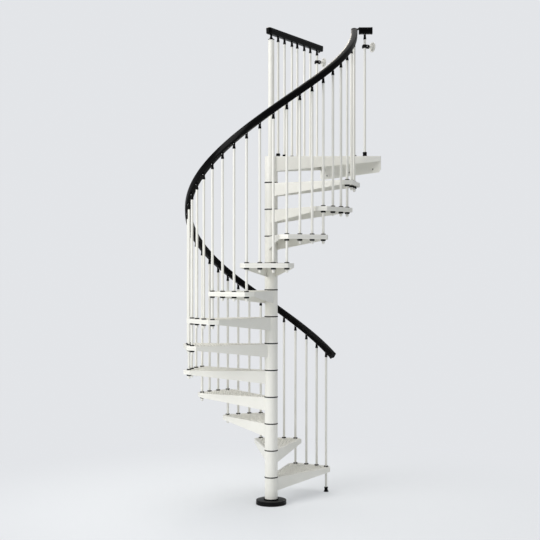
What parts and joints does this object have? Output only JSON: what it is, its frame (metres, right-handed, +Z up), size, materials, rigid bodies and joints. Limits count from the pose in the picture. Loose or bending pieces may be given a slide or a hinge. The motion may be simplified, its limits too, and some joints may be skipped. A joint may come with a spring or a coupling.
{
  "type": "spiral staircase",
  "caption": "Steel spiral staircase on a central column, with folded steel treads, tube balusters, a black helical handrail and a wedge-shaped landing that bolts to a wall.",
  "frame": {"origin": "on the floor, on the column's axis, at the centre of the floor disc's underside", "axes": "+Z up along the column; +X from the column square to the wall that the landing is bolted to; the treads climb counter-clockwise about +Z"},
  "size_m": [1.4886, 1.4483, 3.916],
  "materials": {
    "white_powder_coat": "smooth warm off-white powder coat on steel",
    "black_handrail": "black plastic handrail, satin",
    "black_nylon": "black moulded nylon"
  },
  "bodies": {
    "root": {"base_disc": "black_nylon", "base_ring": "black_nylon", "central_pole": "white_powder_coat", "hub_rings": "black_nylon", "tread_01": "white_powder_coat", "tread_02": "white_powder_coat", "tread_03": "white_powder_coat", "tread_04": "white_powder_coat", "tread_05": "white_powder_coat", "tread_06": "white_powder_coat", "tread_07": "white_powder_coat", "tread_08": "white_powder_coat", "tread_09": "white_powder_coat", "tread_10": "white_powder_coat", "tread_11": "white_powder_coat", "tread_12": "white_powder_coat", "landing": "white_powder_coat", "landing_wall_plate": "white_powder_coat", "newel_post": "white_powder_coat", "newel_cap": "black_nylon", "first_baluster": "white_powder_coat", "first_baluster_foot": "black_nylon", "stair_balusters_lower": "white_powder_coat", "stair_balusters_middle": "white_powder_coat", "stair_balusters_upper": "white_powder_coat", "upper_washers": "black_nylon", "lower_washers": "black_nylon", "baluster_end_caps": "white_powder_coat", "stair_rail_brackets": "black_nylon", "stair_handrail": "black_handrail", "handrail_end_nubs": "black_nylon", "landing_balusters_back": "white_powder_coat", "landing_baluster_front": "white_powder_coat", "landing_baluster_feet": "black_nylon", "landing_rail_brackets": "black_nylon", "landing_handrail_back": "black_handrail", "landing_handrail_front": "black_handrail", "handrail_link": "black_nylon", "wall_clamp_back": "black_nylon", "wall_clamp_front": "black_nylon", "wall_rosette_back": "white_powder_coat", "wall_rosette_front": "white_powder_coat"}
  },
  "joints": []
}
